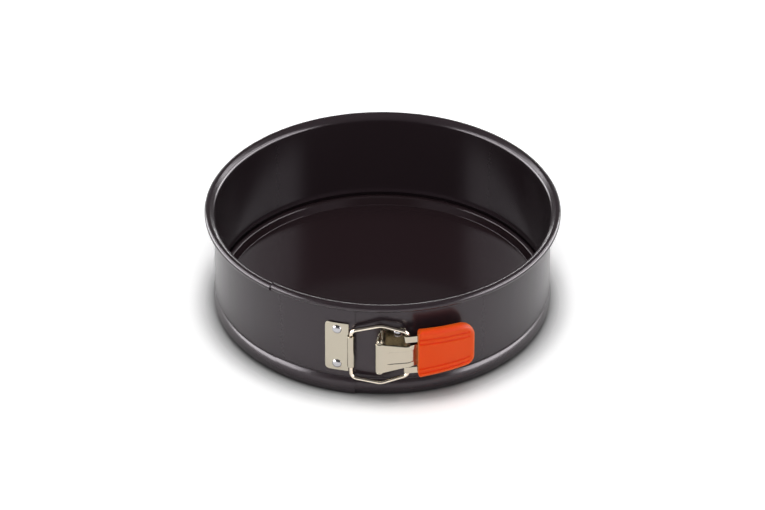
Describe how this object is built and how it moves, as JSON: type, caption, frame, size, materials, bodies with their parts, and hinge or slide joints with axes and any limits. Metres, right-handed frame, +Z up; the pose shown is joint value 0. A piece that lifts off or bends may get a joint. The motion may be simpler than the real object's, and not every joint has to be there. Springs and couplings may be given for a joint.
{
  "type": "springform pan",
  "caption": "Round springform pan: a band with a rolled rim and a grooved foot, a loose base plate, and a lever latch with a wire bail and a soft grip.",
  "frame": {"origin": "on the table plane, at the axis of the closed band", "axes": "+Z up out of the pan; the latch faces -Y; +X to the right as the latch is looked at, towards the grip"},
  "size_m": [0.2135, 0.2186, 0.0672],
  "materials": {
    "band_coating": "smooth dark grey non-stick coating with a soft gloss",
    "base_coating": "smooth dark non-stick coating",
    "plated_steel": "bright nickel plate with a satin surface",
    "wire": "bright nickel plate",
    "rivets": "bright and smooth",
    "grip": "orange silicone, satin"
  },
  "bodies": {
    "band_back": {"band_back": "band_coating"},
    "side_right": {"band_side_right": "band_coating"},
    "end_right": {"band_end_right": "band_coating", "lever_bracket": "plated_steel", "bracket_rivet_upper": "rivets", "bracket_rivet_lower": "rivets", "pivot_pin": "wire"},
    "side_left": {"band_side_left": "band_coating"},
    "end_left": {"band_end_left": "band_coating", "keeper_plate": "plated_steel", "keeper_rivet_upper": "rivets", "keeper_rivet_lower": "rivets"},
    "lever": {"lever": "plated_steel", "lever_grip": "grip"},
    "bail": {"bail_wire": "wire"},
    "base": {"base_plate": "base_coating"}
  },
  "joints": [
    {"name": "right_back_flex", "type": "hinge", "parent": "band_back", "child": "side_right", "pos_m": [0.07538, 0.07538, 0.0344], "axis": [0, 0, 1], "range_deg": [0, 2.19]},
    {"name": "right_front_flex", "type": "hinge", "parent": "side_right", "child": "end_right", "pos_m": [0.07538, -0.07538, 0.0344], "axis": [0, 0, 1], "range_deg": [0, 2.37]},
    {"name": "left_back_flex", "type": "hinge", "parent": "band_back", "child": "side_left", "pos_m": [-0.07538, 0.07538, 0.0344], "axis": [0, 0, -1], "range_deg": [0, 2.19]},
    {"name": "left_front_flex", "type": "hinge", "parent": "side_left", "child": "end_left", "pos_m": [-0.07601, -0.07601, 0.0344], "axis": [0, 0, -1], "range_deg": [0, 2.35]},
    {"name": "lever_swing", "type": "hinge", "parent": "end_right", "child": "lever", "pos_m": [-0.00169, -0.10956, 0.0344], "axis": [0, 0, -1], "range_deg": [0, 150]},
    {"name": "bail_swing", "type": "hinge", "parent": "end_left", "child": "bail", "pos_m": [-0.01837, -0.10214, 0.0344], "axis": [0, 0, -1], "range_deg": [0, 30.02]},
    {"name": "base_release", "type": "slide", "parent": "band_back", "child": "base", "axis": [0, -0.5889, -0.8082], "range_m": [0, 0.0052]}
  ],
  "couplings": [
    {"joint": "right_front_flex", "follows": "right_back_flex", "ratio": 1.0846},
    {"joint": "left_back_flex", "follows": "right_back_flex", "ratio": 1.0002},
    {"joint": "left_front_flex", "follows": "right_back_flex", "ratio": 1.0755},
    {"joint": "lever_swing", "follows": "right_back_flex", "ratio": 68.584},
    {"joint": "bail_swing", "follows": "right_back_flex", "ratio": 13.717},
    {"joint": "base_release", "follows": "right_back_flex", "m_per_rad": 0.13614}
  ]
}
